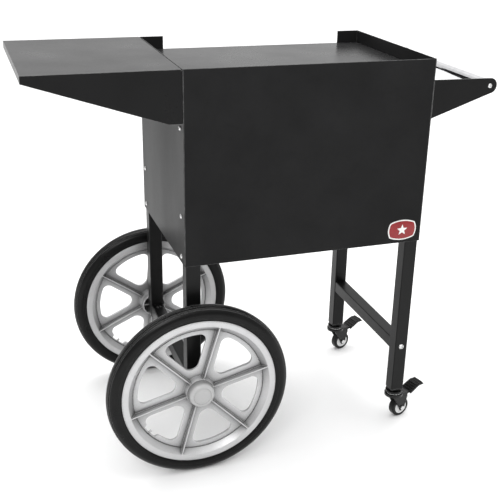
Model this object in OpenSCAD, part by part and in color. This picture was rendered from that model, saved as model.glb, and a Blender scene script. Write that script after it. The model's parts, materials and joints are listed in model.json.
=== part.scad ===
// Two-wheeled cart that carries a popcorn machine.
// A folded sheet-steel cabinet hangs on four square legs. The left legs stand on
// a through axle with two big spoked wheels, the right legs on two braked casters.
// Frame: +Z up, the front faces -Y, the side shelf is at -X, the push handle at +X.
// Origin: middle of the whole cart in X and Y, on the floor in Z.

/* [Cabinet] */
// Outside width of the cabinet, left to right
cab_w = 552; // [480:4:640]
// Outside depth of the cabinet, front to back
cab_d = 395; // [350:5:450]
// Height of the side shelf and of the lips round the deck
top_h = 893; // [860:1:950]
// Height of the front and side panels
panel_h = 413; // [370:1:430]
// Depth of the deck below the lips
deck_drop = 29; // [15:1:40]
// Width of the two rear corner returns
return_w = 55; // [45:1:80]
// Thickness of the folded sheet steel
sheet = 1.2; // [1:0.1:1.6]

/* [Legs and braces] */
// Outside width of a square leg tube
leg_w = 32; // [30:1:36]
// Wall of the leg and brace tubes
tube_wall = 1.5; // [1:0.1:2]
// Outside width of a square brace tube
brace_w = 30; // [27:1:30]

/* [Side shelf] */
// Length of the side shelf beyond the cabinet
shelf_l = 303; // [240:1:360]
// Height of the shelf's outer edge
shelf_edge = 15; // [10:1:25]
// Height of the shelf's brackets at the cabinet
shelf_root = 107; // [90:1:110]

/* [Push handle] */
// Reach from the cabinet to the middle of the tube
handle_reach = 139; // [110:1:160]
// Outside diameter of the tube
handle_d = 25; // [20:1:26]

/* [Big wheels] */
// Outside diameter over the tyre
wheel_d = 406; // [390:2:420]
// Distance from the cabinet's side to the wheel's middle plane
wheel_out = 36; // [34:1:44]
// Diameter of the axle
axle_d = 12.7; // [10:0.1:14]

/* [Casters] */
// Diameter of a caster wheel
caster_d = 50; // [48:1:52]
// Distance from the swivel axis to the wheel's axle
caster_trail = 20; // [18:1:22]
// Swivel angle at which both casters are drawn
caster_turn = 14; // [-90:1:90]

/* [Hidden] */
$fn = 64;

// Overlap of cutting tools past the faces they cut
over = 1;
// Gap between neighbouring sheets
seam = 0.3;
// Radial gap round a screw in its hole
hole_gap = 0.1;

// Overall length and the places worked out from it
handle_round = 17;
overall = shelf_l + cab_w + handle_reach + handle_round;
left = shelf_l - overall / 2;
right = left + cab_w;
front = -cab_d / 2;
back = cab_d / 2;
panel_z = top_h - panel_h;
deck_z = top_h - deck_drop;

// Legs: inset from the panels, standing behind the front panel's side flanges
leg_in_x = 2 * (sheet + seam);
leg_in_y = sheet + seam;
left_leg_x = left + leg_in_x + leg_w / 2;
right_leg_x = right - leg_in_x - leg_w / 2;
leg_y = back - leg_in_y - leg_w / 2;
leg_top = deck_z - sheet;
leg_inner_y = leg_y - leg_w / 2;

// Axle and braces
axle_z = wheel_d / 2;
axle_r = axle_d / 2;
brace_z = axle_z + 2.5;
brace_in = brace_w / 2 - tube_wall;
left_leg_foot = brace_z - brace_w / 2;
wheel_y = back + wheel_out;

// Button-head screws: panel screws M6, brace bolts M8, lock bolts M8
screw_r = 3;
screw_head_r = 5.5;
screw_head_h = 3.2;
bolt_r = 4;
bolt_head_r = 7;
bolt_head_h = 4.4;
lock_bolt_y = leg_inner_y - 14;
lock_bolt_l = brace_z + brace_w / 2 - axle_z - axle_r - hole_gap;

// Panel screws: distance in from the panels' front and rear edges, and drops from the top.
// On the right the handle brackets' screws take the place of the uppermost ones.
screw_in = 25;
left_drops = [121, 308, 398];
right_drops = [308, 398];

// Shelf mounting flange and its screws
flange_w = 22;
bend = 2.5;
shelf_screw_in = 13;
shelf_screw_drops = [46, 84];
shelf_flat = 27;

// Handle brackets
bracket_top = top_h - 45;
bracket_root = 84;
handle_z = top_h - 64;
handle_x = right + handle_reach;
bracket_flange = 24;
bracket_screw_in = 15;
bracket_screw_drops = [20, 62];

// Big wheel section, as fractions of the wheel's radius
wheel_r = wheel_d / 2;
rim_r = 0.849 * wheel_r;
seat_r = 0.818 * wheel_r;
step_r = 0.773 * wheel_r;
wall_r = 0.724 * wheel_r;
window_r = 0.668 * wheel_r;
rim_half = 16.8;
tyre_half = 19.6;
web_half = 3.5;
spoke_half = 17.3;
window_round = 15;
notch_w = 36;
notch_d = 8;
rib_t = 2.6;
spokes = 6;
hub_r = 35;
hub_top_r = 30.5;
hub_half = 14;
cap_r = 28.5;
cap_skirt_r = 24.9;
hub_tube_r = 11;
hub_shell_r = 29;
bore_r = axle_r + 0.07;
front_phase = 14.1;
rear_phase = 24.5;
valve_angle = -156;
washer_t = 2;
hub_in = wheel_out + leg_in_y - washer_t;
nut_t = 6;
axle_end = 13;

// Casters: heights above the floor
caster_r = caster_d / 2;
caster_half = 9;
caster_hub_r = 17;
caster_axle_r = 3.5;
leg_foot = 87.5;
socket_flange = 3;
race_top = 80;
race_low = 75;
crown_top = 71;
crown_low = 65;
crown_r = 23;
race_r = 21;
kingpin_r = 4;
ball_ring_r = 18;
ball_r = 1.9;
balls = 16;
arm_in = 10.4;
arm_t = 2.6;
pedal_pivot = [31, 0, 58];
pedal_pin_r = 2.5;
pedal_tip = 84;

// Box between two opposite corners
module block(a, b) {
  translate(a) cube(b - a);
}

// Turns a shape drawn along +Z to point along -Y, +Y, -X or +X
module to_front() { rotate([90, 0, 0]) children(); }
module to_back() { rotate([-90, 0, 0]) children(); }
module to_left() { rotate([0, -90, 0]) children(); }
module to_right() { rotate([0, 90, 0]) children(); }

// Copy of a left-hand shape at the same place on the right of the cabinet
module on_right() {
  translate([left + right, 0, 0]) mirror([1, 0, 0]) children();
}

// Square with round corners, drawn about its middle
module round_square(w, r) {
  square([w, w - 2 * r], center = true);
  square([w - 2 * r, w], center = true);
  for (x = [-1, 1], y = [-1, 1])
    translate([x, y] * (w / 2 - r)) circle(r);
}

module square_tube(w, length) {
  linear_extrude(length)
    difference() {
      round_square(w, 2.5);
      round_square(w - 2 * tube_wall, 1);
    }
}

// Button-head screw: head above z = 0, shank below, hexagon socket in the head
module button_screw(r, head_r, head_h, length) {
  dome_r = (head_r * head_r + head_h * head_h) / (2 * head_h);
  difference() {
    union() {
      intersection() {
        translate([0, 0, head_h - dome_r]) sphere(dome_r);
        cylinder(r = head_r + over, h = head_h + over);
      }
      translate([0, 0, -length]) cylinder(r = r, h = length + over);
    }
    translate([0, 0, head_h * 0.4]) cylinder(r = r * 0.75, h = head_h, $fn = 6);
  }
}

module panel_screw(length) {
  button_screw(screw_r, screw_head_r, screw_head_h, length);
}

module brace_bolt(length) {
  button_screw(bolt_r, bolt_head_r, bolt_head_h, length);
}

// Holes for the screws that hold a side panel to its legs, drawn on the left
module side_screw_holes(drops, depth) {
  for (drop = drops, y = [front + screw_in, back - screw_in])
    translate([left - over, y, top_h - drop])
      to_right() cylinder(r = screw_r + hole_gap, h = depth + over);
}

// Places of the screws that hold the side shelf
module at_shelf_screws() {
  for (drop = shelf_screw_drops, y = [front + shelf_screw_in, back - shelf_screw_in])
    translate([left - sheet, y, top_h - drop]) children();
}

module shelf_screw_holes() {
  at_shelf_screws()
    translate([-over, 0, 0]) to_right() cylinder(r = screw_r + hole_gap, h = 12);
}

// Places of the screws that hold the handle brackets
module at_handle_screws() {
  for (drop = bracket_screw_drops, y = [front + bracket_screw_in, back - bracket_screw_in])
    translate([right + sheet, y, bracket_top - drop]) children();
}

module handle_screw_holes() {
  at_handle_screws()
    translate([over, 0, 0]) to_left() cylinder(r = screw_r + hole_gap, h = 12);
}

// ---- Cabinet ----

// Front panel: face with a hemmed top lip, folded sides behind the side panels
module front_panel() {
  flange_d = 48;
  x0 = left + sheet + seam;
  x1 = right - sheet - seam;
  inner_x = leg_in_x + leg_w + 4;
  color([0.13, 0.13, 0.13]) difference() {
    union() {
      block([x0, front, panel_z], [x1, front + sheet, top_h]);
      block([x0, front, top_h - 10], [x1, front + 2 * sheet, top_h]);
      for (x = [x0, x1 - sheet])
        block([x, front, panel_z], [x + sheet, front + flange_d, deck_z - 4]);
      block([left + inner_x, front, panel_z], [right - inner_x, front + 20, panel_z + sheet]);
    }
    side_screw_holes(left_drops, leg_in_x);
    on_right() side_screw_holes(right_drops, leg_in_x);
    shelf_screw_holes();
    handle_screw_holes();
  }
}

// Side panel, drawn on the left: face, rear corner return, bottom flange
module side_panel(drops) {
  inner_y = leg_in_y + leg_w + 18;
  difference() {
    union() {
      block([left, front, panel_z], [left + sheet, back, top_h]);
      block([left, back - sheet, panel_z], [left + return_w, back, top_h]);
      block([left, front + inner_y, panel_z], [left + 20, back - inner_y, panel_z + sheet]);
    }
    side_screw_holes(drops, sheet + seam / 2);
  }
}

module left_side_panel() {
  color([0.2, 0.2, 0.2]) difference() {
    side_panel(left_drops);
    shelf_screw_holes();
  }
}

module right_side_panel() {
  color([0.2, 0.2, 0.2]) difference() {
    on_right() side_panel(right_drops);
    handle_screw_holes();
  }
}

// Deck that the machine stands on, with folded edges between the legs
module deck_tray() {
  x0 = left + leg_in_x;
  x1 = right - leg_in_x;
  y0 = front + 2 * sheet + seam;
  y1 = back - leg_in_y;
  edge_z = deck_z - 20;
  near = leg_w + 3;
  mid0 = left + return_w + 2;
  mid1 = right - return_w - 2;
  color([0.35, 0.35, 0.35]) {
    block([x0, y0, deck_z - sheet], [x1, y1, deck_z]);
    block([mid0, back - 30, deck_z - sheet], [mid1, back, deck_z]);
    block([mid0, back - sheet, edge_z], [mid1, back, deck_z]);
    block([x0 + near, y0, edge_z], [x1 - near, y0 + sheet, deck_z]);
    for (x = [x0, x1 - sheet])
      block([x, y0 + near, edge_z], [x + sheet, y1 - near, deck_z]);
  }
}

// Floor of the cabinet, notched round the legs and resting on the bottom flanges
module cabinet_floor() {
  z = panel_z + sheet;
  near = leg_in_x + leg_w + 1;
  near_y = leg_in_y + leg_w + 1;
  x0 = left + leg_in_x;
  x1 = right - leg_in_x;
  color([0.16, 0.16, 0.16]) {
    block([left + near, front + leg_in_y, z], [right - near, back - leg_in_y, z + sheet]);
    block([x0, front + near_y, z], [x1, back - near_y, z + sheet]);
    block([left + return_w + 2, back - 4, z], [right - return_w - 2, back, z + sheet]);
    block([left + return_w + 2, back - sheet, z], [right - return_w - 2, back, z + 18]);
  }
}

// Side shelf: one folded sheet with sloping brackets at its front and rear edges
module side_shelf() {
  x0 = left - shelf_l;
  x1 = left - bend;
  top = top_h - sheet;
  low = top_h - shelf_root;
  color([0.3, 0.3, 0.3]) difference() {
    union() {
      block([x0, front, top], [x1, back, top_h]);
      block([x0, front, top_h - shelf_edge], [x0 + sheet, back, top_h]);
      for (y = [front + sheet, back])
        translate([0, y, 0]) to_front() linear_extrude(sheet)
          polygon([[x0, top_h], [x0, top_h - shelf_edge], [left - shelf_flat, low],
                   [x1, low], [x1, top_h]]);
      // mounting flanges on the cabinet's side, each joined by a round bend
      for (s = [0, 1]) mirror([0, s, 0]) {
        block([left - sheet, front + bend, low], [left, front + flange_w, top_h - bend]);
        translate([left - bend, front + bend, low]) quarter_bend(top_h - bend - low);
      }
      block([left - sheet, front + bend, top_h - 20], [left, back - bend, top_h - bend]);
      translate([left - bend, back - bend, top_h - bend]) to_front()
        mirror([0, 1, 0]) quarter_bend(cab_d - 2 * bend);
    }
    shelf_screw_holes();
  }
}

// Quarter of a round bend in the sheet, from +X round to -Y
module quarter_bend(length) {
  intersection() {
    difference() {
      cylinder(r = bend, h = length);
      translate([0, 0, -over]) cylinder(r = bend - sheet, h = length + 2 * over);
    }
    translate([0, -bend - over, 0]) cube([bend + over, bend + over, length]);
  }
}

module shelf_bolts() {
  color("silver") at_shelf_screws() to_left() panel_screw(10);
}

module panel_bolts() {
  color("silver") for (y = [front + screw_in, back - screw_in]) {
    for (drop = left_drops) translate([left, y, top_h - drop]) to_left() panel_screw(10);
    for (drop = right_drops) translate([right, y, top_h - drop]) to_right() panel_screw(10);
  }
}

// Oval badge plate near the lower right corner of the front panel
module badge() {
  color([0.75, 0.1, 0.1]) translate([right - 47, front, panel_z + 31]) to_front()
    intersection() {
      cylinder(r = 35, h = 1.2);
      translate([0, -52, 0]) cylinder(r = 76, h = 1.2, $fn = 128);
      translate([0, 52, 0]) cylinder(r = 76, h = 1.2, $fn = 128);
    }
}

// ---- Frame ----

module leg(x, y, foot) {
  translate([x, y, foot]) square_tube(leg_w, leg_top - foot);
}

// Left leg: holes for the axle, the panel screws and the shelf screws
module left_leg(y) {
  color([0.1, 0.1, 0.1]) difference() {
    leg(left_leg_x, y, left_leg_foot);
    translate([left_leg_x, y - leg_w, axle_z])
      to_back() cylinder(r = axle_r + hole_gap, h = 2 * leg_w);
    side_screw_holes(left_drops, leg_in_x + tube_wall + over);
    shelf_screw_holes();
  }
}

// Right leg: holes for the brace bolt, the panel screws and the handle screws
module right_leg(y) {
  color([0.1, 0.1, 0.1]) difference() {
    leg(right_leg_x, y, leg_foot);
    translate([right_leg_x, y - leg_w, brace_z])
      to_back() cylinder(r = bolt_r + hole_gap, h = 2 * leg_w);
    on_right() side_screw_holes(right_drops, leg_in_x + tube_wall + over);
    handle_screw_holes();
  }
}

module front_left_leg() { left_leg(-leg_y); }
module rear_left_leg() { left_leg(leg_y); }
module front_right_leg() { right_leg(-leg_y); }
module rear_right_leg() { right_leg(leg_y); }

module brace(x) {
  translate([x, -leg_inner_y, brace_z]) to_back() square_tube(brace_w, 2 * leg_inner_y);
}

// Left brace: houses the axle, drilled on top for the two lock bolts
module left_brace() {
  color([0.12, 0.12, 0.12]) difference() {
    brace(left_leg_x);
    for (y = [-lock_bolt_y, lock_bolt_y])
      translate([left_leg_x, y, brace_z]) cylinder(r = bolt_r + hole_gap, h = brace_w);
  }
}

module right_brace() {
  color([0.12, 0.12, 0.12]) brace(right_leg_x);
}

// Threaded plugs in the ends of the right brace
module brace_end_plugs() {
  length = 16;
  color([0.4, 0.4, 0.4]) for (s = [-1, 1])
    translate([right_leg_x, s * (leg_inner_y - length / 2), brace_z]) difference() {
      cube([2 * brace_in - 0.8, length, 2 * brace_in - 0.8], center = true);
      translate([0, -length, 0]) to_back() cylinder(r = bolt_r + hole_gap, h = 2 * length);
    }
}

module brace_bolts() {
  color("silver") {
    translate([right_leg_x, -leg_y - leg_w / 2, brace_z]) to_front() brace_bolt(leg_w + 12);
    translate([right_leg_x, leg_y + leg_w / 2, brace_z]) to_back() brace_bolt(leg_w + 12);
  }
}

// Plastic caps that close the feet of the left legs
module leg_end_caps() {
  color([0.05, 0.05, 0.05]) for (y = [-leg_y, leg_y])
    translate([left_leg_x, y, left_leg_foot]) {
      translate([0, 0, -socket_flange]) linear_extrude(socket_flange) round_square(leg_w, 2.5);
      inner = leg_w - 2 * tube_wall - 0.8;
      translate([-inner / 2, -inner / 2, -over]) cube([inner, inner, over + 4]);
    }
}

// Plastic sockets in the feet of the right legs, which take the caster stems
module caster_sockets() {
  depth = 34;
  inner = leg_w - 2 * tube_wall - 0.8;
  color([0.05, 0.05, 0.05]) for (y = [-leg_y, leg_y])
    translate([right_leg_x, y, leg_foot]) difference() {
      union() {
        translate([0, 0, -socket_flange]) linear_extrude(socket_flange) round_square(leg_w, 2.5);
        translate([-inner / 2, -inner / 2, -over]) cube([inner, inner, over + depth]);
      }
      translate([0, 0, -socket_flange - over]) cylinder(r = 5.5 + hole_gap, h = depth + 2);
    }
}

// ---- Push handle ----

// Front bracket: tapering plate with a round end and a flange on the cabinet
module handle_bracket() {
  root = bracket_top - bracket_root;
  slope = atan2(handle_z - handle_round - root, handle_reach);
  color([0.13, 0.13, 0.13]) difference() {
    union() {
      translate([0, front + sheet, 0]) to_front() linear_extrude(sheet) {
        translate([handle_x, handle_z]) circle(handle_round);
        polygon([[right, root], [handle_x + handle_round * sin(slope) * 0.98,
                                 handle_z - handle_round * cos(slope) * 0.98],
                 [handle_x, handle_z + handle_round], [right, bracket_top]]);
      }
      block([right, front, root], [right + sheet, front + bracket_flange, bracket_top]);
    }
    handle_screw_holes();
    translate([handle_x, front - over, handle_z])
      to_back() cylinder(r = screw_r + hole_gap, h = sheet + 2 * over);
  }
}

module handle_bracket_front() { handle_bracket(); }
module handle_bracket_rear() { mirror([0, 1, 0]) handle_bracket(); }

module handle_tube() {
  length = cab_d - 2 * sheet;
  color([0.8, 0.8, 0.82]) translate([handle_x, -length / 2, handle_z]) to_back() difference() {
    cylinder(d = handle_d, h = length);
    translate([0, 0, -over]) cylinder(d = handle_d - 3, h = length + 2 * over);
  }
}

// Threaded plugs in the ends of the handle tube
module handle_end_plugs() {
  depth = 15;
  color([0.4, 0.4, 0.4]) for (s = [0, 1]) mirror([0, s, 0])
    translate([handle_x, front + sheet, handle_z]) to_back() difference() {
      cylinder(d = handle_d - 3.2, h = depth);
      translate([0, 0, -over]) cylinder(r = screw_r + hole_gap, h = depth + 2 * over);
    }
}

module handle_screws() {
  color("silver") for (s = [0, 1]) mirror([0, s, 0])
    translate([handle_x, front, handle_z]) to_front() panel_screw(13);
}

module handle_bracket_bolts() {
  color("silver") at_handle_screws() to_right() panel_screw(10);
}

// ---- Axle and big wheels ----

module axle() {
  half = wheel_y + axle_end;
  color([0.6, 0.6, 0.6]) translate([left_leg_x, -half, axle_z]) to_back()
    cylinder(r = axle_r, h = 2 * half);
}

// Bolts down through the left brace that stop the axle turning or sliding
module axle_lock_bolts() {
  color("silver") for (y = [-lock_bolt_y, lock_bolt_y])
    translate([left_leg_x, y, brace_z + brace_w / 2]) brace_bolt(lock_bolt_l);
}

module washer(outer, thickness) {
  difference() {
    cylinder(r = outer, h = thickness);
    translate([0, 0, -over]) cylinder(r = axle_r + hole_gap, h = thickness + 2 * over);
  }
}

module at_wheel(side, phase) {
  mirror([0, side, 0]) translate([left_leg_x, -wheel_y, axle_z]) to_front()
    rotate([0, 0, phase]) children();
}

// Washers each side of the hubs: one against the leg, one under the nut
module axle_washers() {
  color("silver") for (side = [0, 1]) at_wheel(side, 0) {
    translate([0, 0, -hub_in - washer_t]) washer(14, washer_t - 0.1);
    translate([0, 0, web_half + 1.1]) washer(12, 1.4);
  }
}

module axle_nuts() {
  color("silver") for (side = [0, 1]) at_wheel(side, 0)
    translate([0, 0, web_half + 2.6]) difference() {
      cylinder(r = 10.5, h = nut_t, $fn = 6);
      translate([0, 0, -over]) cylinder(r = axle_r + hole_gap / 2, h = nut_t + 2 * over);
    }
}

// Half section of the rim, web and hub, from the bore out; +Y is the outer side
module rim_section() {
  polygon([
    [bore_r, -hub_in], [hub_tube_r, -hub_in], [hub_tube_r, -6], [hub_shell_r - 2.5, -6],
    [hub_shell_r - 2.5, -hub_in + 3], [hub_shell_r, -hub_in + 3], [hub_shell_r, -hub_half - 2],
    [hub_top_r, -hub_half], [hub_r, -web_half], [wall_r, -web_half], [step_r, -rim_half + 1.5],
    [step_r + 1.5, -rim_half], [rim_r, -rim_half], [rim_r, -rim_half + 2.4], [seat_r, -12],
    [seat_r, 12], [rim_r, rim_half - 2.4], [rim_r, rim_half], [step_r + 1.5, rim_half],
    [step_r, rim_half - 1.5], [wall_r, web_half], [hub_r, web_half], [hub_top_r, hub_half],
    [cap_skirt_r + 0.1, hub_half], [cap_skirt_r + 0.1, web_half + 1], [bore_r, web_half + 1]
  ]);
}

// One window between two spokes, with sharp corners
module window_wedge() {
  reach = window_r * 2;
  intersection() {
    circle(window_r, $fn = 120);
    difference() {
      polygon([[0, 0], [reach, 0], reach * [cos(360 / spokes), sin(360 / spokes)]]);
      for (a = [0, 360 / spokes]) rotate(a)
        translate([-spoke_half, -spoke_half]) square([reach + spoke_half, 2 * spoke_half]);
    }
  }
}

// All windows; one has a notch in its outer edge, where the tyre's valve is
module windows() {
  offset(r = window_round, $fn = 36) offset(delta = -window_round)
    for (i = [0 : spokes - 1]) rotate(i * 360 / spokes) window_wedge();
  rotate(valve_angle) translate([window_r, 0])
    offset(r = notch_d / 2, $fn = 24) square([notch_d, notch_w - notch_d], center = true);
}

// Moulded wheel: windows cut in the web, a rib down the middle of each spoke
module wheel_rim() {
  rib_end = step_r + 2;
  difference() {
    union() {
      difference() {
        rotate_extrude($fn = 180) rim_section();
        translate([0, 0, -web_half - over]) linear_extrude(2 * web_half + 2 * over) windows();
      }
      for (i = [0 : spokes - 1]) rotate([0, 0, i * 360 / spokes])
        rotate([90, 0, 0]) translate([0, 0, -rib_t / 2]) linear_extrude(rib_t)
          polygon([[hub_top_r - 4, 0], [hub_top_r - 4, -hub_half + 1], [rib_end, -rim_half + 0.4],
                   [rib_end, rim_half - 0.4], [hub_top_r - 4, hub_half - 1]]);
      // fins in the hollow of the hub's inner side
      for (i = [0 : spokes - 1]) rotate([0, 0, (i + 0.5) * 360 / spokes])
        block([hub_tube_r - 1, -1, -hub_in + 5], [hub_shell_r - 1, 1, -5]);
      rotate([0, 0, valve_angle]) translate([window_r + 1, 0, 0])
        to_right() cylinder(r = 2.6, h = step_r - window_r);
    }
    translate([0, 0, web_half + 1]) cylinder(r = cap_skirt_r + 0.1, h = 20);
    translate([0, 0, -hub_in - over]) cylinder(r = bore_r, h = 2 * hub_in);
  }
}

// Half section of the tyre: crown with four grooves, tapered foot in the rim
module tyre_section() {
  crown_r = wheel_r - tyre_half;
  difference() {
    union() {
      intersection() {
        translate([crown_r, 0]) circle(tyre_half, $fn = 96);
        translate([rim_r + 0.2, -rim_half - 2 * over]) square([60, 2 * rim_half + 4 * over]);
      }
      polygon([[seat_r + 0.1, -11.9], [rim_r + 0.4, -rim_half + 2.8],
               [rim_r + 0.4, rim_half - 2.8], [seat_r + 0.1, 11.9]]);
    }
    for (y = [-11.5, -4, 4, 11.5])
      translate([wheel_r - 1.2 - pow(abs(y), 2) / (2 * tyre_half), y - 0.7]) square([10, 1.4]);
  }
}

module wheel_tyre() {
  rotate_extrude($fn = 180) tyre_section();
}

// Snap-in hub cap: hollow dome with a shallow dish on its face
module wheel_cap() {
  foot = hub_half + 0.1;
  dish_r = cap_r - 9;
  rotate_extrude($fn = 96) polygon([
    [cap_skirt_r, web_half + 3], [cap_skirt_r, foot], [cap_r, foot], [cap_r, 25],
    [cap_r - 1.5, 29], [cap_r - 5, 32.2], [dish_r + 1, 33.4], [dish_r, 32.4], [0, 32.4],
    [0, 30], [dish_r, 30], [cap_skirt_r - 2, 26], [cap_skirt_r - 2, web_half + 3]
  ]);
}

module front_wheel_rim() { color([0.75, 0.75, 0.76]) at_wheel(0, front_phase) wheel_rim(); }
module front_wheel_tyre() { color([0.08, 0.08, 0.08]) at_wheel(0, front_phase) wheel_tyre(); }
module front_wheel_cap() { color([0.72, 0.72, 0.72]) at_wheel(0, front_phase) wheel_cap(); }
module rear_wheel_rim() { color([0.75, 0.75, 0.76]) at_wheel(1, rear_phase) wheel_rim(); }
module rear_wheel_tyre() { color([0.08, 0.08, 0.08]) at_wheel(1, rear_phase) wheel_tyre(); }
module rear_wheel_cap() { color([0.72, 0.72, 0.72]) at_wheel(1, rear_phase) wheel_cap(); }

// ---- Casters ----

// Places a caster under a right leg, turned about its swivel axis
module at_caster(y) {
  translate([right_leg_x, y, 0]) rotate([0, 0, caster_turn]) children();
}

// Fixed half: stem in the socket, hexagon collar, upper race and king pin
module caster_stem() {
  color([0.3, 0.3, 0.3]) {
    translate([0, 0, race_low]) cylinder(r = race_r, h = race_top - race_low);
    translate([0, 0, race_top - over])
      cylinder(r = 9, h = leg_foot - socket_flange - race_top + over, $fn = 6);
    translate([0, 0, race_top]) cylinder(r = 5.5, h = 32);
    translate([0, 0, crown_low - 3]) cylinder(r = kingpin_r, h = race_top - crown_low);
    translate([0, 0, crown_low - 4]) cylinder(r = kingpin_r + 3, h = 3.6);
  }
}

// Ring of balls between the races
module caster_ball_race() {
  middle = (race_low + crown_top) / 2;
  color("silver") {
    translate([0, 0, middle - 0.6]) difference() {
      cylinder(r = ball_ring_r + 1.2, h = 1.2);
      translate([0, 0, -over]) cylinder(r = ball_ring_r - 1.2, h = 1.2 + 2 * over);
    }
    for (i = [0 : balls - 1]) rotate([0, 0, i * 360 / balls])
      translate([ball_ring_r, 0, middle]) sphere(ball_r, $fn = 24);
  }
}

// Swivelling fork: crown, two arms down to the wheel's axle, ears for the pedal's pin
module caster_fork() {
  color([0.12, 0.12, 0.12]) difference() {
    union() {
      translate([0, 0, crown_low]) cylinder(r = crown_r, h = crown_top - crown_low);
      block([0, -arm_in - arm_t, crown_low], [34, arm_in + arm_t, crown_low + 3]);
      for (s = [0, 1]) mirror([0, s, 0]) translate([0, -arm_in, 0]) to_front()
        linear_extrude(arm_t) {
          translate([caster_trail, caster_r]) circle(8);
          polygon([[caster_trail - 8, caster_r], [-12, crown_low + 2], [34, crown_low + 2],
                   [36, pedal_pivot[2] - 4], [caster_trail + 8, caster_r]]);
        }
    }
    translate([0, 0, crown_low - over]) cylinder(r = kingpin_r + 0.06, h = 20);
    translate([caster_trail, -30, caster_r]) to_back() cylinder(r = caster_axle_r + 0.05, h = 60);
    translate([pedal_pivot[0], -30, pedal_pivot[2]])
      to_back() cylinder(r = pedal_pin_r + 0.06, h = 60);
  }
}

// Caster axle: bolt with a hexagon head at one end and a nut at the other
module caster_axle() {
  outside = arm_in + arm_t;
  color("silver") translate([caster_trail, 0, caster_r]) {
    translate([0, -outside - 2, 0]) to_back() cylinder(r = caster_axle_r, h = 2 * outside + 4);
    translate([0, -outside, 0]) to_front() cylinder(r = 6, h = 3.5, $fn = 6);
    translate([0, outside, 0]) to_back() cylinder(r = 6, h = 4, $fn = 6);
  }
}

module caster_hub() {
  color([0.9, 0.9, 0.9]) translate([caster_trail, -caster_half - 0.8, caster_r]) to_back()
    difference() {
      union() {
        translate([0, 0, 0.8]) cylinder(r = caster_hub_r, h = 2 * caster_half);
        cylinder(r = 6.5, h = 2 * caster_half + 1.6);
      }
      for (z = [0.8 - over, 2 * caster_half + 0.8 - 3]) translate([0, 0, z]) difference() {
        cylinder(r = caster_hub_r - 3, h = 3 + over);
        cylinder(r = 6.5, h = 3 + over);
      }
      translate([0, 0, -over]) cylinder(r = caster_axle_r + 0.08, h = 2 * caster_half + 4);
    }
}

module caster_tyre() {
  color([0.05, 0.05, 0.05]) translate([caster_trail, 0, caster_r]) to_back()
    rotate_extrude($fn = 96) polygon([
      [caster_hub_r + 0.05, -caster_half], [caster_r - 2.2, -caster_half],
      [caster_r - 0.6, -caster_half + 1.2], [caster_r, -caster_half + 3.5],
      [caster_r, caster_half - 3.5], [caster_r - 0.6, caster_half - 1.2],
      [caster_r - 2.2, caster_half], [caster_hub_r + 0.05, caster_half]
    ]);
}

// Brake pedal: pin in the fork's ears, shoe over the tyre, ribbed plate for the foot
module caster_brake_pedal() {
  half = arm_in - 0.4;
  px = pedal_pivot[0];
  pz = pedal_pivot[2];
  color([0.08, 0.08, 0.08]) {
    translate([px, -arm_in - arm_t, pz]) to_back()
      cylinder(r = pedal_pin_r, h = 2 * (arm_in + arm_t));
    translate([px, -half, pz]) to_back() cylinder(r = 5, h = 2 * half);
    translate([0, half, 0]) to_front() linear_extrude(2 * half)
      polygon([[px - 4, pz - 2], [px - 0.5, pz - 9.2], [px + 1.8, pz - 9], [px + 5, pz - 2],
               [px + 14, pz + 2], [px + 12, pz + 7], [px, pz + 4]]);
    // foot plate, wider than the fork, with cross ribs
    translate([0, 17, 0]) to_front() linear_extrude(34)
      polygon([[px + 12, pz + 2], [px + 26, pz + 10], [px + 38, pz + 17], [pedal_tip, pz + 18],
               [pedal_tip, pz + 20], [px + 38, pz + 21], [px + 25, pz + 15], [px + 11, pz + 7]]);
    for (i = [0 : 4]) translate([px + 30 + 4.6 * i, -14, pz + 16.5 + 0.6 * i])
      cube([1.8, 28, 4.6]);
  }
}

module front_caster_stem() { at_caster(-leg_y) caster_stem(); }
module front_caster_fork() { at_caster(-leg_y) caster_fork(); }
module front_caster_ball_race() { at_caster(-leg_y) caster_ball_race(); }
module front_caster_axle() { at_caster(-leg_y) caster_axle(); }
module front_caster_hub() { at_caster(-leg_y) caster_hub(); }
module front_caster_tyre() { at_caster(-leg_y) caster_tyre(); }
module front_caster_brake_pedal() { at_caster(-leg_y) caster_brake_pedal(); }
module rear_caster_stem() { at_caster(leg_y) caster_stem(); }
module rear_caster_fork() { at_caster(leg_y) caster_fork(); }
module rear_caster_ball_race() { at_caster(leg_y) caster_ball_race(); }
module rear_caster_axle() { at_caster(leg_y) caster_axle(); }
module rear_caster_hub() { at_caster(leg_y) caster_hub(); }
module rear_caster_tyre() { at_caster(leg_y) caster_tyre(); }
module rear_caster_brake_pedal() { at_caster(leg_y) caster_brake_pedal(); }

front_panel();
left_side_panel();
right_side_panel();
deck_tray();
cabinet_floor();
side_shelf();
shelf_bolts();
panel_bolts();
badge();
front_left_leg();
rear_left_leg();
front_right_leg();
rear_right_leg();
left_brace();
right_brace();
brace_end_plugs();
brace_bolts();
leg_end_caps();
caster_sockets();
handle_bracket_front();
handle_bracket_rear();
handle_tube();
handle_end_plugs();
handle_screws();
handle_bracket_bolts();
axle();
axle_lock_bolts();
axle_washers();
axle_nuts();
front_wheel_rim();
front_wheel_tyre();
front_wheel_cap();
rear_wheel_rim();
rear_wheel_tyre();
rear_wheel_cap();
front_caster_stem();
front_caster_fork();
front_caster_ball_race();
front_caster_axle();
front_caster_hub();
front_caster_tyre();
front_caster_brake_pedal();
rear_caster_stem();
rear_caster_fork();
rear_caster_ball_race();
rear_caster_axle();
rear_caster_hub();
rear_caster_tyre();
rear_caster_brake_pedal();
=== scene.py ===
import json
import math

import bmesh
import bpy
from mathutils import Matrix, Vector


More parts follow.
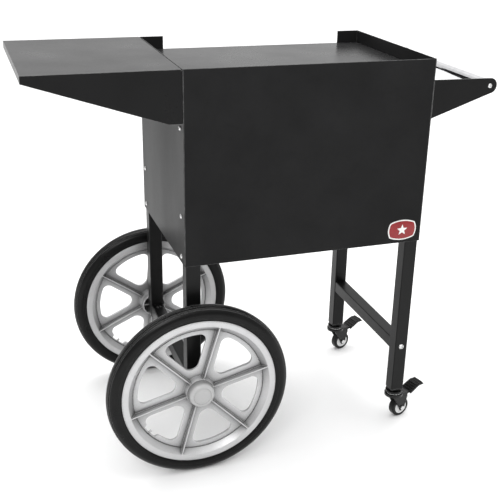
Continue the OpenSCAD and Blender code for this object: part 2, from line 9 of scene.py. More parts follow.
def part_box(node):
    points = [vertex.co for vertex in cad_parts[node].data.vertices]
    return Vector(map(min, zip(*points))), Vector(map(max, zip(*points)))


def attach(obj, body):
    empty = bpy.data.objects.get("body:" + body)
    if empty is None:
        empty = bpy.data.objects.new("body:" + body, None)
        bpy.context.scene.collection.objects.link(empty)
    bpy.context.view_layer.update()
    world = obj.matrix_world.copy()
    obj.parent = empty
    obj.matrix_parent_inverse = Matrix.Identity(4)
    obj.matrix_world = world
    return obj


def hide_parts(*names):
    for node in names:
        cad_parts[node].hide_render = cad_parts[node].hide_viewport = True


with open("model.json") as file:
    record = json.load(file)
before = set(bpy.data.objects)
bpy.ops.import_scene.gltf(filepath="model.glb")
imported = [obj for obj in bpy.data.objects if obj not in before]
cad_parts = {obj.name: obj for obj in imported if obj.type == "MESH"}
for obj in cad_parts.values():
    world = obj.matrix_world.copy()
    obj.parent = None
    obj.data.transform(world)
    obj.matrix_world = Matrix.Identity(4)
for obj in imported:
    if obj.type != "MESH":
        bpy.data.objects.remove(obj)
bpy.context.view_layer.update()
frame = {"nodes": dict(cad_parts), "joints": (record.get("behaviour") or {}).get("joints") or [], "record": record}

NODES = frame["nodes"]
MM = 0.001
BODY = {node: body for body, nodes in frame["record"]["behaviour"]["bodies"].items() for node in nodes}
SLOT = {part["node"]: part["material_slot"] for part in frame["record"]["subparts"]}
JOINT = {joint["name"]: joint for joint in frame["joints"]}

# Camera: angles in degrees, sensor and lens in millimetres, shift as a share of the picture's width
HEADING, PITCH, ROLL = -20.08, -22.66, -1.54
SENSOR, LENS = 36.0, 63.054
SHIFT_X, SHIFT_Y = -0.03196, 0.00322
CAMERA_AT = (-0.6191, -1.8286, 1.2202)
# Half the floor's side, and the radius on the CAD nodes' sharp edges, in metres
FLOOR_HALF = 14.0
EDGE_ROUND = 0.0005


# ---- Camera, floor and lights ----

def make_camera():
    """Camera at the photograph's viewing angle; heading 0 looks along +Y."""
    heading, pitch, roll = (math.radians(a) for a in (HEADING, PITCH, ROLL))
    data = bpy.data.cameras.new("camera")
    data.sensor_width = SENSOR
    data.lens = LENS
    data.shift_x, data.shift_y = SHIFT_X, SHIFT_Y
    data.clip_end = 100.0
    camera = bpy.data.objects.new("camera", data)
    turn = (Matrix.Rotation(heading, 4, "Z") @ Matrix.Rotation(pitch, 4, "X")
            @ Matrix.Rotation(roll, 4, "Y") @ Matrix.Rotation(math.pi / 2, 4, "X"))
    camera.matrix_world = Matrix.Translation(CAMERA_AT) @ turn
    bpy.context.scene.collection.objects.link(camera)
    bpy.context.scene.camera = camera


def make_floor():
    bm = bmesh.new()
    bmesh.ops.create_grid(bm, x_segments=2, y_segments=2, size=FLOOR_HALF)
    mesh = bpy.data.meshes.new("floor")
    bm.to_mesh(mesh)
    bm.free()
    floor = bpy.data.objects.new("floor", mesh)
    bpy.context.scene.collection.objects.link(floor)
    mesh.materials.append(floor_paint())


def make_light(name, place, target, size, power):
    data = bpy.data.lights.new(name, "AREA")
    data.shape = "RECTANGLE"
    data.size, data.size_y = size
    data.energy = power
    light = bpy.data.objects.new(name, data)
    light.location = place
    light.rotation_euler = (Vector(target) - Vector(place)).to_track_quat("-Z", "Y").to_euler()
    bpy.context.scene.collection.objects.link(light)


def make_world():
    """Soft white studio: bright overhead and behind the cart, dimmer low in front of it."""
    world = bpy.data.worlds.new("studio")
    world.use_nodes = True
    nodes, links = world.node_tree.nodes, world.node_tree.links
    place = nodes.new("ShaderNodeTexCoord")
    total = nodes.new("ShaderNodeMath")
    total.operation = "ADD"
    behind, above = (0.55, 0.83, 0.0), (0.0, 0.0, 1.0)
    # where each glow begins and ends along its direction, and its strength at both
    glows = ((behind, (-0.3, 0.95, 0.5, 1.15)), (above, (0.5, 0.9, 0.0, 1.25)))
    for k, (direction, limits) in enumerate(glows):
        toward = nodes.new("ShaderNodeVectorMath")
        toward.operation = "DOT_PRODUCT"
        toward.inputs[1].default_value = direction
        ramp = nodes.new("ShaderNodeMapRange")
        for name, number in zip(("From Min", "From Max", "To Min", "To Max"), limits):
            ramp.inputs[name].default_value = number
        links.new(place.outputs["Generated"], toward.inputs[0])
        links.new(toward.outputs["Value"], ramp.inputs["Value"])
        links.new(ramp.outputs[0], total.inputs[k])
    links.new(total.outputs[0], nodes["Background"].inputs["Strength"])
    nodes["Background"].inputs["Color"].default_value = (1, 1, 1, 1)
    bpy.context.scene.world = world


# ---- Materials ----

class Paint:
    """A procedural material: a Principled shader with texture nodes added by the methods."""

    def __init__(self, name, color, rough, metallic=0.0, specular=0.5):
        self.material = bpy.data.materials.new(name)
        self.material.use_nodes = True
        self.nodes = self.material.node_tree.nodes
        self.links = self.material.node_tree.links
        self.shader = self.nodes["Principled BSDF"]
        self.shader.inputs["Base Color"].default_value = (*color, 1)
        self.shader.inputs["Roughness"].default_value = rough
        self.shader.inputs["Metallic"].default_value = metallic
        self.shader.inputs["Specular IOR Level"].default_value = specular
        self.place = self.nodes.new("ShaderNodeTexCoord").outputs["Object"]
        self.color, self.rough = color, rough
        self.color_out = self.rough_out = self.height_out = None

    def noise(self, scale, detail=3.0, roughness=0.5, stretch=None):
        """Noise at a scale in cycles per metre, stretched by the factors along X, Y and Z."""
        node = self.nodes.new("ShaderNodeTexNoise")
        node.inputs["Scale"].default_value = scale
        node.inputs["Detail"].default_value = detail
        node.inputs["Roughness"].default_value = roughness
        place = self.place
        if stretch:
            mapping = self.nodes.new("ShaderNodeMapping")
            mapping.inputs["Scale"].default_value = stretch
            self.links.new(place, mapping.inputs["Vector"])
            place = mapping.outputs[0]
        self.links.new(place, node.inputs["Vector"])
        return node.outputs["Fac"]

    def ramp(self, value, low, high, start=0.0, end=1.0):
        """Maps value from low..high to start..end, clamped."""
        node = self.nodes.new("ShaderNodeMapRange")
        for name, number in (("From Min", low), ("From Max", high), ("To Min", start), ("To Max", end)):
            node.inputs[name].default_value = number
        self.links.new(value, node.inputs["Value"])
        return node.outputs[0]

    def math(self, operation, a, b):
        node = self.nodes.new("ShaderNodeMath")
        node.operation = operation
        for socket, value in zip(node.inputs, (a, b)):
            if isinstance(value, (int, float)):
                socket.default_value = value
            else:
                self.links.new(value, socket)
        return node.outputs[0]

    def edges(self, radius=0.0016):
        """1 at sharp edges and corners, 0 on flat faces."""
        bevel = self.nodes.new("ShaderNodeBevel")
        bevel.samples = 4
        bevel.inputs["Radius"].default_value = radius
        geometry = self.nodes.new("ShaderNodeNewGeometry")
        dot = self.nodes.new("ShaderNodeVectorMath")
        dot.operation = "DOT_PRODUCT"
        self.links.new(bevel.outputs[0], dot.inputs[0])
        self.links.new(geometry.outputs["Normal"], dot.inputs[1])
        return self.ramp(dot.outputs["Value"], 0.98, 0.8)

    def shade_in_creases(self, distance=0.008, low=0.35, high=0.9):
        """Mask for painted shade from ambient occlusion: 1 deep in grooves and inner corners, 0 on open faces."""
        near = self.nodes.new("ShaderNodeAmbientOcclusion")
        near.samples = 6
        near.inputs["Distance"].default_value = distance
        return self.ramp(near.outputs["AO"], high, low)

    def tint(self, mask, color):
        """Mixes color over the base colour where mask is 1."""
        mix = self.nodes.new("ShaderNodeMix")
        mix.data_type = "RGBA"
        self.links.new(mask, mix.inputs["Factor"])
        if self.color_out is None:
            mix.inputs["A"].default_value = (*self.color, 1)
        else:
            self.links.new(self.color_out, mix.inputs["A"])
        mix.inputs["B"].default_value = (*color, 1)
        self.color_out = mix.outputs["Result"]
        self.links.new(self.color_out, self.shader.inputs["Base Color"])
        return self

    def roughen(self, value, amount):
        """Adds amount times (value - 0.5) to the roughness."""
        shift = self.math("MULTIPLY", self.math("SUBTRACT", value, 0.5), amount)
        base = self.rough if self.rough_out is None else self.rough_out
        self.rough_out = self.math("ADD", shift, base)
        self.links.new(self.rough_out, self.shader.inputs["Roughness"])
        return self

    def bump(self, value, depth, strength=1.0):
        """Bump of the given depth in metres."""
        node = self.nodes.new("ShaderNodeBump")
        node.inputs["Strength"].default_value = strength
        node.inputs["Distance"].default_value = depth
        self.links.new(value, node.inputs["Height"])
        if self.height_out is not None:
            self.links.new(self.height_out, node.inputs["Normal"])
        self.height_out = node.outputs[0]
        self.links.new(self.height_out, self.shader.inputs["Normal"])
        return self


def floor_paint():
    paint = Paint("floor_paper", (0.96, 0.96, 0.96), 0.9, specular=0.1)
    paint.tint(paint.ramp(paint.noise(1.2), 0.4, 0.7), (0.94, 0.94, 0.94))
    return paint.material


def powder_coat(name, color, rough, edge=(0.15, 0.15, 0.15), specular=0.2, reach=0.0016):
    """Satin powder coat: fine orange peel, faint handling marks, coat thinned at the edges together with a painted
    edge highlight.
    """
    paint = Paint(name, color, rough, specular=specular)
    lighter = tuple(c * 1.3 for c in color)
    darker = tuple(c * 0.8 for c in color)
    paint.tint(paint.ramp(paint.noise(7.0, 5.0, 0.6), 0.35, 0.7), lighter)
    paint.tint(paint.ramp(paint.noise(60.0, 6.0, 0.7), 0.55, 0.8, 0.0, 0.5), darker)
    patches = paint.ramp(paint.noise(60.0, 4.0), 0.35, 0.65, 0.45, 1.0)
    # lighter edges in patches: partly the coat rubbed thin, partly a painted highlight along the edges
    paint.tint(paint.math("MULTIPLY", paint.edges(reach), patches), edge)
    paint.roughen(paint.noise(5.0, 4.0, 0.55, (1.0, 1.0, 0.35)), 0.2)
    paint.roughen(paint.noise(130.0, 3.0), 0.04)
    paint.bump(paint.noise(620.0, 2.0), 0.00003)
    paint.bump(paint.noise(1900.0, 2.0), 0.00002)
    return paint.material


def moulded_plastic(name, color, rough, grain=0.00004, specular=0.45, fleck=0.85, crease_shade=None, edge=None,
                    metallic=0.0):
    """Injection-moulded plastic: fine grain, slight flow marks, painted shade in creases and hollows, rubbed edges
    with a painted highlight.
    """
    paint = Paint(name, color, rough, metallic, specular)
    paint.tint(paint.ramp(paint.noise(24.0, 4.0, 0.6), 0.35, 0.75), tuple(c * fleck for c in color))
    paint.tint(paint.ramp(paint.noise(900.0, 2.0), 0.5, 0.8, 0.0, 0.35),
               tuple(min(1, c * 1.25) for c in color))
    if crease_shade:
        # painted shade: a broad darkening in hollows and a dark line in creases, both from ambient occlusion
        paint.tint(paint.shade_in_creases(0.045, 0.64, 0.97), tuple(c * 0.36 for c in color))
        paint.tint(paint.shade_in_creases(), crease_shade)
    if edge:
        # lighter edges in patches: partly rubbed plastic, partly a painted highlight along the edges
        patches = paint.ramp(paint.noise(260.0), 0.3, 0.6, 0.5, 1.0)
        paint.tint(paint.math("MULTIPLY", paint.edges(), patches), edge)
    paint.roughen(paint.noise(45.0, 5.0, 0.6), 0.18)
    paint.bump(paint.noise(1100.0, 2.0), grain)
    return paint.material


def rubber(name, color, rough):
    """Black rubber: dusty mottling, a painted highlight on the edges, low sheen, mould texture."""
    paint = Paint(name, color, rough, specular=0.18)
    dust = paint.math("MULTIPLY", paint.ramp(paint.noise(30.0, 6.0, 0.65), 0.45, 0.8),
                      paint.ramp(paint.noise(420.0, 3.0), 0.3, 0.7))
    paint.tint(dust, tuple(c * 2.0 + 0.003 for c in color))
    # painted highlight: lighter colour along the edges
    paint.tint(paint.edges(), (0.16, 0.16, 0.16))
    paint.roughen(paint.noise(22.0, 6.0, 0.6), 0.25)
    paint.bump(paint.noise(800.0, 3.0), 0.00005)
    return paint.material


def bare_metal(name, color, rough, grain, tarnish):
    """Plated or turned steel: fine directional grain and a faint tarnish."""
    paint = Paint(name, color, rough, metallic=1.0)
    paint.tint(paint.ramp(paint.noise(60.0, 5.0, 0.65), 0.45, 0.8, 0.0, 0.7), tarnish)
    paint.roughen(paint.noise(240.0, 4.0, 0.6, grain), 0.2)
    paint.bump(paint.noise(900.0, 2.0, 0.5, grain), 0.00001)
    return paint.material


def make_materials():
    return {
        # Edge colours below are partly wear and partly a painted highlight; crease colours are painted shade.
        "cabinet_paint": powder_coat("cabinet_paint", (0.007, 0.007, 0.0072), 0.3, (0.3, 0.3, 0.3), 0.12),
        # The next two are copies of the cabinet's powder coat toned to stand in for light: the deck lighter so its
        # lips look lit, the panels with more colour and far less sheen so their reflections look dimmer.
        "deck_paint_toned_for_light": powder_coat("deck_paint_toned_for_light", (0.021, 0.021, 0.0214), 0.3, (0.3, 0.3, 0.3), 0.12),
        "panel_paint_toned_for_light": powder_coat("panel_paint_toned_for_light", (0.0145, 0.0145, 0.0148), 0.34, (0.2, 0.2, 0.2), 0.03),
        "frame_paint": powder_coat("frame_paint", (0.003, 0.003, 0.0031), 0.38),
        "caster_steel": powder_coat("caster_steel", (0.004, 0.004, 0.004), 0.2, (0.22, 0.22, 0.22), 0.3,
                                    reach=0.0005),
        "handle_chrome": bare_metal("handle_chrome", (0.7, 0.7, 0.71), 0.07, (1, 0.1, 1), (0.5, 0.5, 0.52)),
        "zinc": bare_metal("zinc", (0.66, 0.66, 0.66), 0.26, (1, 1, 1), (0.4, 0.4, 0.38)),
        "axle_steel": bare_metal("axle_steel", (0.5, 0.5, 0.5), 0.3, (1, 0.08, 1), (0.3, 0.29, 0.28)),
        "plug_steel": bare_metal("plug_steel", (0.35, 0.35, 0.35), 0.4, (1, 1, 1), (0.2, 0.19, 0.18)),
        "rim_plastic": moulded_plastic("rim_plastic", (0.55, 0.55, 0.555), 0.34, fleck=0.93,
                                       crease_shade=(0.05, 0.05, 0.05), edge=(0.85, 0.85, 0.85), metallic=0.45),
        "cap_plastic": moulded_plastic("cap_plastic", (0.44, 0.44, 0.44), 0.34, fleck=0.93,
                                       crease_shade=(0.1, 0.1, 0.1), edge=(0.8, 0.8, 0.8)),
        "black_plastic": moulded_plastic("black_plastic", (0.004, 0.004, 0.004), 0.34, 0.00005, 0.15,
                                         crease_shade=(0.001, 0.001, 0.001), edge=(0.11, 0.11, 0.11)),
        "caster_hub_plastic": moulded_plastic("caster_hub_plastic", (0.85, 0.85, 0.85), 0.3, 0.00002),
        "tyre_rubber": rubber("tyre_rubber", (0.003, 0.003, 0.003), 0.3),
        "caster_tread": rubber("caster_tread", (0.009, 0.009, 0.009), 0.3),
        "badge_enamel": moulded_plastic("badge_enamel", (0.25, 0.008, 0.01), 0.2, 0.00001),
        "badge_white": moulded_plastic("badge_white", (0.8, 0.8, 0.78), 0.2, 0.00001),
    }


# ---- Helpers for pieces ----

def soften(node, width, segments=2):
    """Rounds a CAD node's sharp edges with modifiers; its own mesh stays as it is."""
    piece = NODES[node]
    weld = piece.modifiers.new("weld", "WELD")
    weld.merge_threshold = 0.00002
    flat = piece.modifiers.new("flat", "DECIMATE")
    flat.decimate_type = "DISSOLVE"
    flat.angle_limit = math.radians(0.6)
    bevel = piece.modifiers.new("bevel", "BEVEL")
    bevel.width = width
    bevel.segments = segments
    bevel.limit_method = "ANGLE"
    bevel.angle_limit = math.radians(32)
    bevel.use_clamp_overlap = True
    bevel.miter_outer = "MITER_SHARP"
    bevel.harden_normals = False
    shade = piece.modifiers.new("shade", "WEIGHTED_NORMAL")
    shade.keep_sharp = False
    shade.weight = 80


def finish_piece(name, bm, node, replace=True, body=None, slot=None, finish=None):
    """Turns a bmesh in the row frame into a piece; replace lets it stand for its CAD node."""
    bmesh.ops.recalc_face_normals(bm, faces=bm.faces)
    mesh = bpy.data.meshes.new(name)
    bm.to_mesh(mesh)
    bm.free()
    piece = bpy.data.objects.new(name, mesh)
    bpy.context.scene.collection.objects.link(piece)
    for face in mesh.polygons:
        face.use_smooth = True
    mesh.set_sharp_from_angle(angle=math.radians(35))
    slot = slot or SLOT[node]
    mesh.materials.append(MATERIALS[finish or slot])
    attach(piece, body or BODY[node])
    if replace:
        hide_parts(node)


def wall_between(bm, ring, following):
    """Closes the gap between two closed rings of as many vertices with four-sided faces."""
    for i in range(len(ring)):
        j = (i + 1) % len(ring)
        bm.faces.new((ring[i], ring[j], following[j], following[i]))


def loft(bm, rings):
    """Skin over a row of rings, with a flat cap on both ends."""
    for ring, following in zip(rings, rings[1:]):
        wall_between(bm, ring, following)
    bm.faces.new(rings[0])
    bm.faces.new(rings[-1])


def ring_edges(bm, ring):
    """The edges round a ring, made where no face has made them."""
    pairs = zip(ring, ring[1:] + ring[:1])
    return [bm.edges.get(pair) or bm.edges.new(pair) for pair in pairs]


# ---- Big wheels ----

def arc_fillet(points, radii, steps=4):
    """Outline through points, with each corner between its ends rounded to its radius."""
    out = [Vector(points[0])]
    for before, corner, after, radius in zip(points, points[1:], points[2:], radii):
        before, corner, after = Vector(before), Vector(corner), Vector(after)
        a, b = (before - corner), (after - corner)
        limit = min(a.length, b.length) * 0.49
        a.normalize()
        b.normalize()
        half = a.angle(b) / 2
        if radius <= 0 or half > math.radians(88):
            out.append(corner)
            continue
        reach = min(radius / math.tan(half), limit)
        radius = reach * math.tan(half)
        middle = corner + (a + b).normalized() * (radius / math.sin(half))
        start, end = corner + a * reach - middle, corner + b * reach - middle
        turn = start.angle_signed(end)
        for k in range(steps + 1):
            angle = -turn * k / steps
            out.append(middle + Matrix.Rotation(angle, 2) @ start)
    out.append(Vector(points[-1]))
    return out


def revolve(bm, profile, place, steps, closed=False, wobble=None):
    """Turns a profile of (radius, height) about the wheel's axis; returns the rings of vertices."""
    rings = []
    for k in range(steps):
        angle = 2 * math.pi * k / steps
        ring = []
        for r, z in profile:
            if wobble:
                r += wobble(angle, z)
            ring.append(bm.verts.new(place(r * math.cos(angle), r * math.sin(angle), z)))
        rings.append(ring)
    count = len(profile)
    for k in range(steps):
        ring, following = rings[k], rings[(k + 1) % steps]
        for i in range(count if closed else count - 1):
            j = (i + 1) % count
            bm.faces.new((ring[i], ring[j], following[j], following[i]))
    return rings


# Big wheel in millimetres and degrees: radii and half widths of the rim, web, spokes, hub and valve notch
WHEEL = {
    "web": 3.5, "wall": 147.0, "step": 157.0, "window": 135.6, "spoke": 17.3,
    "outer_corner": 14.5, "inner_corner": 19.3, "notch_w": 36.0, "notch_d": 8.0,
    "hub": 35.0, "hub_top": 30.5, "hub_half": 14.0, "skirt": 25.0, "bore": 6.42,
    "tube": 11.0, "shell": 29.0, "hub_in": 35.5, "spokes": 6, "valve": -156.0,
}
# Angle of each wheel's first spoke at rest
PHASE = {"front": 14.1, "rear": 24.5}
STEPS = 216


def wheel_place(end, phase=0.0):
    """Maps wheel coordinates in millimetres (X, Y in its plane, Z outward) to the row frame."""
    centre = Vector(JOINT[end + "_wheel_spin"]["pos_m"])
    outward = -1 if end == "front" else 1
    c, s = math.cos(math.radians(phase)), math.sin(math.radians(phase))

    def place(x, y, z):
        return centre + Vector((x * c - y * s, outward * z, x * s + y * c)) * MM
    return place


def window_outline(index):
    """Points and outward normals round one window; the valve's window has a notch."""
    w = WHEEL
    sector = 2 * math.pi / w["spokes"]
    r_out, r_in = w["outer_corner"], w["inner_corner"]
    reach = w["window"] - r_out
    tilt = math.asin((w["spoke"] + r_out) / reach)
    inner = (w["spoke"] + r_in) / math.sin(sector / 2)
    valve = math.radians(w["valve"]) % (2 * math.pi) - index * sector
    notched = 0 < valve < sector
    out = []

    def corner(angle, radius_at, radius, start, end, steps=10):
        middle = Vector((math.cos(angle), math.sin(angle))) * radius_at
        for k in range(steps + 1):
            a = start + (end - start) * k / steps
            normal = Vector((math.cos(a), math.sin(a)))
            out.append((middle + normal * radius, normal))

    def bump(angle):
        if not notched:
            return 0.0
        off = abs(angle - valve) * w["window"]
        t = min(max((w["notch_w"] / 2 + 2.5 - off) / 5.0, 0.0), 1.0)
        return w["notch_d"] * t * t * (3 - 2 * t)

    corner(tilt, reach, r_out, -math.pi / 2, tilt)
    steps, first, last = 64 if notched else 18, tilt, sector - tilt
    for k in range(1, steps):
        a = first + (last - first) * k / steps
        slope = (bump(a + 0.001) - bump(a - 0.001)) / 0.002
        radius = w["window"] + bump(a)
        along, across = Vector((math.cos(a), math.sin(a))), Vector((-math.sin(a), math.cos(a)))
        out.append((along * radius, (along * radius - across * slope).normalized()))
    corner(sector - tilt, reach, r_out, sector - tilt, sector + math.pi / 2)
    corner(sector / 2, inner, r_in, sector + math.pi / 2, 3 * math.pi / 2, 14)
    turn = Matrix.Rotation(index * sector, 2)
    return [(turn @ p, turn @ n) for p, n in out]


def spoke_rib(bm, place, angle, side, rim_half):
    """Rib down the middle of a spoke, from the hub up to the rim's step, on one face of the web."""
    thick, flare, round_off = 1.3, 0.9, 0.8
    base = WHEEL["web"] - 0.8
    c, s = math.cos(angle), math.sin(angle)
    ends = ((WHEEL["hub_top"] - 3, WHEEL["hub_half"] - 1.0), (WHEEL["step"] + 2.2, rim_half + 0.15))
    rings = []
    for r, top in ends:
        edge = [(thick + flare, base), (thick + 0.25, base + 1.9), (thick, top - 0.7),
                (thick - 0.3, top - 0.2), (thick - round_off, top)]
        section = [(-q, z) for q, z in edge] + edge[::-1]
        rings.append([bm.verts.new(place(r * c - q * s, r * s + q * c, side * z)) for q, z in section])
    loft(bm, rings)


def hub_fin(bm, place, angle):
    """Fin between the bore's tube and the shell, in the hollow of the hub's inner side."""
    half_thick, bury = 1, 1
    deep, shallow = 5 - WHEEL["hub_in"], -5
    c, s = math.cos(angle), math.sin(angle)
    section = ((-half_thick, deep), (half_thick, deep), (half_thick, shallow), (-half_thick, shallow))
    loft(bm, [[bm.verts.new(place(r * c - q * s, r * s + q * c, z)) for q, z in section]
              for r in (WHEEL["tube"] - bury, WHEEL["shell"] - bury)])


def wheel_rim(end):
    """Rim, web with six windows, ribs and hub, in one mesh."""
    w = WHEEL
    node = end + "_wheel_rim"
    low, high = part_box(node)
    rim_r = (high.x - low.x) / 2 / MM
    middle = JOINT[end + "_wheel_spin"]["pos_m"][1]
    half = (middle - low.y if end == "front" else high.y - middle) / MM
    place = wheel_place(end, PHASE[end])
    bm = bmesh.new()
    wall = [(w["wall"] - 2.6, w["web"]), (w["wall"] - 1.9, w["web"]), (w["wall"] - 1.4, w["web"] - 1.3),
            (w["wall"] - 0.3, w["web"] - 1.3), (w["wall"] + 0.5, w["web"] + 1.0), (w["step"], half - 1.6),
            (w["step"] + 1.2, half), (rim_r - 2.4, half), (rim_r - 1.8, half - 0.6),
            (rim_r, half - 0.6), (rim_r, half - 2.6), (rim_r - 6.5, 12.0)]
    rim_half = arc_fillet(wall, [0.3, 0.3, 0.4, 0.8, 1.5, 1.4, 0.5, 0.3, 0.8, 0.6], 3)
    outer = rim_half + [Vector((r, -z)) for r, z in reversed(rim_half)]
    hub = [(w["hub"] + 1.6, w["web"]), (w["hub"], w["web"]), (w["hub_top"], w["hub_half"]),
           (w["skirt"], w["hub_half"]), (w["skirt"], w["web"] + 1), (w["bore"], w["web"] + 1),
           (w["bore"], -w["hub_in"]), (w["tube"], -w["hub_in"]), (w["tube"], -6),
           (w["shell"] - 2.5, -6), (w["shell"] - 2.5, 3 - w["hub_in"]),
           (w["shell"], 3 - w["hub_in"]), (w["shell"], -w["hub_half"] - 2),
           (w["hub_top"], -w["hub_half"]), (w["hub"], -w["web"]), (w["hub"] + 1.6, -w["web"])]
    hub = arc_fillet(hub, [1.5, 1.2, 0.4, 0, 0, 0, 0.8, 0.5, 0.5, 0.6, 0.6, 1, 1, 1.5], 3)
    outer_rings = revolve(bm, outer, place, STEPS)
    hub_rings = revolve(bm, hub, place, STEPS // 2)
    soft = 0.9
    wall_rings = [(soft, w["web"]), (soft * 0.29, w["web"] - soft * 0.29), (0, w["web"] - soft)]
    wall_rings += [(t, -z) for t, z in reversed(wall_rings)]
    edges = {1: [], -1: []}
    for index in range(w["spokes"]):
        outline = window_outline(index)
        rings = []
        for t, z in wall_rings:
            rings.append([bm.verts.new(place(*(p + n * t), z)) for p, n in outline])
        for ring, following in zip(rings, rings[1:]):
            wall_between(bm, ring, following)
        edges[1] += ring_edges(bm, rings[0])
        edges[-1] += ring_edges(bm, rings[-1])
    for side, pick in ((1, 0), (-1, -1)):
        for rings in (outer_rings, hub_rings):
            edges[side] += ring_edges(bm, [column[pick] for column in rings])
        bmesh.ops.triangle_fill(bm, edges=edges[side], use_beauty=True)
    for index in range(w["spokes"]):
        for side in (1, -1):
            spoke_rib(bm, place, 2 * math.pi * index / w["spokes"], side, half)
    for index in range(w["spokes"]):
        hub_fin(bm, place, 2 * math.pi * (index + 0.5) / w["spokes"])
    finish_piece(end + "_rim", bm, node)


def valve(end):
    """Tyre valve: rubber stub from the rim's wall with a metal cap, in the web's notch."""
    w = WHEEL
    place = wheel_place(end, PHASE[end] + w["valve"])
    stub = [(0, 0), (3.6, 0), (3.4, 2), (2.6, 3.4), (2.3, 5.5), (2.0, 5.6), (0, 5.6)]
    cap = [(0, 5.2), (2.7, 5.2)]
    for k in range(4):
        cap += [(2.75, 5.6 + k * 1.4), (2.45, 6.2 + k * 1.4)]
    cap += [(2.0, 11.4), (0, 11.6)]
    for name, profile, slot in (("stub", stub, "black_plastic"), ("cap", cap, "zinc")):
        bm = bmesh.new()
        revolve(bm, profile, lambda x, y, z: place(w["wall"] + 1 - z, x, y), 24)
        bmesh.ops.remove_doubles(bm, verts=bm.verts, dist=0.00001)
        finish_piece(f"{end}_valve_{name}", bm, None, False, end + "_wheel", slot)


def tyre_profile(rim_r, tyre_r, tyre_half):
    """Section of the tyre: bead, smooth sidewall with two moulded rings, crown with grooves."""
    centre = tyre_r - tyre_half
    start = -math.pi + math.acos(max(-1, min(1, (centre - rim_r - 0.4) / tyre_half)))
    grooves = (-11.5, -4.0, 4.0, 11.5)
    points = []
    steps = 150
    for k in range(steps + 1):
        a = start + (-2 * start) * k / steps
        r, z = centre + tyre_half * math.cos(a), tyre_half * math.sin(a)
        depth = 0.0
        if math.cos(a) > 0.55:
            for g in grooves:
                t = min(max((1.5 - abs(z - g)) / 0.6, 0), 1)
                depth = max(depth, 1.9 * t * t * (3 - 2 * t))
        elif abs(r - (rim_r + 6.0)) < 0.8 or abs(r - (rim_r + 8.6)) < 0.5:
            depth = -0.35
        points.append((r - depth * math.cos(a), z - depth * math.sin(a)))
    foot = rim_r - 7.0
    return [(foot, -11.6)] + points + [(foot, 11.6)]


def wheel_tyre(end):
    """Tyre turned from its section."""
    node = end + "_wheel_tyre"
    low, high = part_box(node)
    tyre_r = (high.x - low.x) / 2 / MM
    tyre_half = (high.y - low.y) / 2 / MM
    rim_low, rim_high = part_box(end + "_wheel_rim")
    rim_r = (rim_high.x - rim_low.x) / 2 / MM
    bm = bmesh.new()
    profile = tyre_profile(rim_r, tyre_r, tyre_half)
    revolve(bm, profile, wheel_place(end, PHASE[end]), STEPS, closed=True)
    finish_piece(end + "_tyre", bm, node)


def wheel_cap(end):
    """Snap-in hub cap: fluted wall, domed shoulder, shallow dish."""
    node = end + "_wheel_cap"
    low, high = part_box(node)
    cap_r = (high.x - low.x) / 2 / MM
    foot, dish = WHEEL["hub_half"] + 0.1, cap_r - 9.0
    profile = [(WHEEL["skirt"] - 0.3, 6.5), (WHEEL["skirt"] - 0.3, foot), (cap_r, foot),
               (cap_r, 17), (cap_r, 20), (cap_r, 23), (cap_r - 0.1, 25), (cap_r - 1.5, 29),
               (cap_r - 5, 32.2), (dish + 1, 33.4), (dish - 0.3, 31.9), (dish - 3, 31.8),
               (0.02, 31.8), (0.02, 29.5), (dish, 29.5), (22.9, 26), (22.9, 6.5)]
    radii = [0, 0, 0.5, 0, 0, 0, 2, 3, 4, 0.8, 0.8, 0, 0, 0, 0]
    profile = arc_fillet(profile, radii, 4)

    def flutes(angle, z):
        return -0.45 * (0.5 + 0.5 * math.cos(54 * angle)) if foot + 1.5 < z < 27 else 0.0
    bm = bmesh.new()
    revolve(bm, profile, wheel_place(end), STEPS, closed=True, wobble=flutes)
    bmesh.ops.remove_doubles(bm, verts=bm.verts, dist=0.00003)
    finish_piece(end + "_cap", bm, node)


# ---- Badge ----

def slab(bm, outline, place, low, high, round_off=0.15):
    """Flat plate of an outline in millimetres, with its upper edge rounded off."""
    rings = []
    for shrink, z in ((0, low), (0, high - round_off), (round_off * 0.3, high - round_off * 0.3),
                      (round_off, high)):
        scaled = [(x, y, 1 - shrink / math.hypot(x, y)) for x, y in outline]
        rings.append([bm.verts.new(place(x * scale, y * scale, z)) for x, y, scale in scaled])
    loft(bm, rings)


def oval(inset):
    """Outline of the badge, in millimetres: a circle, cut above and below by two larger ones."""
    circle, large, off, steps = 35, 76, 52, 144
    points = []
    for k in range(steps):
        c, s = math.cos(2 * math.pi * k / steps), math.sin(2 * math.pi * k / steps)
        side = -off * abs(s) + math.sqrt((large - inset) ** 2 - (off * c) ** 2)
        radius = min(circle - inset, side)
        points.append((radius * c, radius * s))
    return points


def badge():
    """Generic oval plate: white enamel border, red field and a plain star, each raised a little."""
    low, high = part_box("badge")
    middle = (low + high) / 2

    def place(x, y, z):
        return Vector((middle.x + x * MM, high.y - z * MM, middle.z + y * MM))
    star, tip, notch = [], 13.5, 5.8
    for k in range(10):
        a, radius = math.pi / 2 + k * math.pi / 5, notch if k % 2 else tip
        star.append((radius * math.cos(a), radius * math.sin(a)))
    layers = (("badge_plate", oval(0), 0.0, 0.8, "badge_white"),
              ("badge_field", oval(2.8), 0.7, 1.0, "badge_enamel"),
              ("badge_star", star, 0.9, 1.2, "badge_white"))
    for name, outline, start, end, finish in layers:
        bm = bmesh.new()
        slab(bm, outline, place, start, end)
        finish_piece(name, bm, "badge", name == "badge_plate", finish=finish)


# ---- Casters ----

def caster_place(end):
    """Maps a caster's own millimetres (X along its trail, Y across, Z up) to the row frame."""
    pivot = Vector(JOINT[end + "_caster_turn"]["pos_m"])
    across = Vector(JOINT[end + "_caster_roll"]["axis"])
    along = Vector((across.y, -across.x, 0))

    def place(x, y, z):
        return Vector((pivot.x, pivot.y, 0)) + (along * x + across * y) * MM + Vector((0, 0, z * MM))
    return place


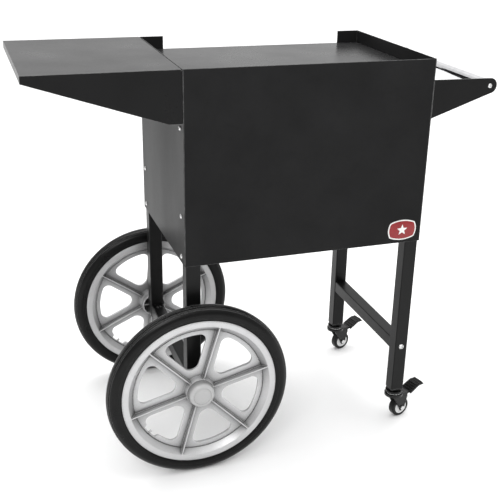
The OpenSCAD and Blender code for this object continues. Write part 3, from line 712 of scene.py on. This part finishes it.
def fork_beads(end):
    """Pressed stiffening bead along the edge of each fork arm."""
    place = caster_place(end)
    trail, axle_z, radius = 20.0, 25.0, 7.1
    path = [(-7.0, 63.5), (-1.0, 53.0), (6.0, 40.5)]
    path += [(trail + radius * math.cos(a), axle_z + radius * math.sin(a))
             for a in (math.radians(165 + 195 * k / 20) for k in range(21))]
    path += [(30.0, 40.0), (32.5, 50.0)]
    arm, half_width, height, taper = 12.9, 1.15, 1.05, 0.3
    for side, label in ((-1, "near"), (1, "far")):
        bm = bmesh.new()
        rings = []
        for i, (x, z) in enumerate(path):
            before, after = path[max(i - 1, 0)], path[min(i + 1, len(path) - 1)]
            run = Vector((after[0] - before[0], after[1] - before[1])).normalized()
            scale = taper if i in (0, len(path) - 1) else 1.0
            ring = []
            for k in range(9):
                a = math.pi * k / 8
                q, rise = half_width * math.cos(a) * scale, height * math.sin(a) * scale
                ring.append(bm.verts.new(place(x - run.y * q, side * (arm + rise), z + run.x * q)))
            rings.append(ring)
        loft(bm, rings)
        finish_piece(f"{end}_fork_bead_{label}", bm, end + "_caster_fork", False)


def pedal_pad(end):
    """Ribbed pad over the top of the pedal's foot plate."""
    place = caster_place(end)
    line = [Vector(p) for p in ((43.5, 66.0), (56, 73), (69, 79), (83, 78.1))]
    ridge = ((0.0, -0.6), (0.12, 0.4), (0.22, 1.2), (0.6, 1.2), (0.7, 0.4), (0.8, -0.6))
    lengths = [(b - a).length for a, b in zip(line, line[1:])]
    total, pitch = sum(lengths), 7.0
    count = int(total / pitch)
    marks = [(total * (k + t) / count, rise) for k in range(count) for t, rise in ridge]
    bm = bmesh.new()
    rings = []
    for s, rise in marks:
        i = 0
        while i < 2 and s > lengths[i]:
            s -= lengths[i]
            i += 1
        run = (line[i + 1] - line[i]).normalized()
        foot = line[i] + run * s
        up = Vector((-run.y, run.x))
        top, base = foot + up * (rise + 0.4), foot - up * 1.2
        rings.append([bm.verts.new(place(p.x, y, p.y))
                      for p, y in ((base, -15.5), (top, -15), (top, 15), (base, 15.5))])
    loft(bm, rings)
    finish_piece(end + "_pedal_pad", bm, end + "_caster_brake_pedal", False)


MATERIALS = make_materials()
for node, piece in NODES.items():
    piece.data.materials.clear()
    piece.data.materials.append(MATERIALS[SLOT[node]])
# The panels and the deck get the copies of the cabinet paint toned for light; the axle lock bolts get caster
# steel.
for node, finish in (("front_panel", "panel_paint_toned_for_light"), ("left_side_panel", "panel_paint_toned_for_light"),
                     ("right_side_panel", "panel_paint_toned_for_light"), ("deck_tray", "deck_paint_toned_for_light"),
                     ("axle_lock_bolts", "caster_steel")):
    NODES[node].data.materials[0] = MATERIALS[finish]

make_camera()
make_floor()
make_world()
make_light("top_light", (0.3, 0.9, 3.0), (0, 0, 0.7), (3.0, 1.6), 30)
make_light("key_light", (-1.4, -2.6, 2.7), (-0.1, -0.2, 0.3), (1.4, 1.0), 34)

for end in ("front", "rear"):
    wheel_rim(end)
    wheel_tyre(end)
    wheel_cap(end)
    valve(end)
    fork_beads(end)
    pedal_pad(end)
badge()

for node, piece in NODES.items():
    if not piece.hide_render:
        soften(node, EDGE_ROUND)

bpy.context.scene.view_settings.view_transform = "Standard"
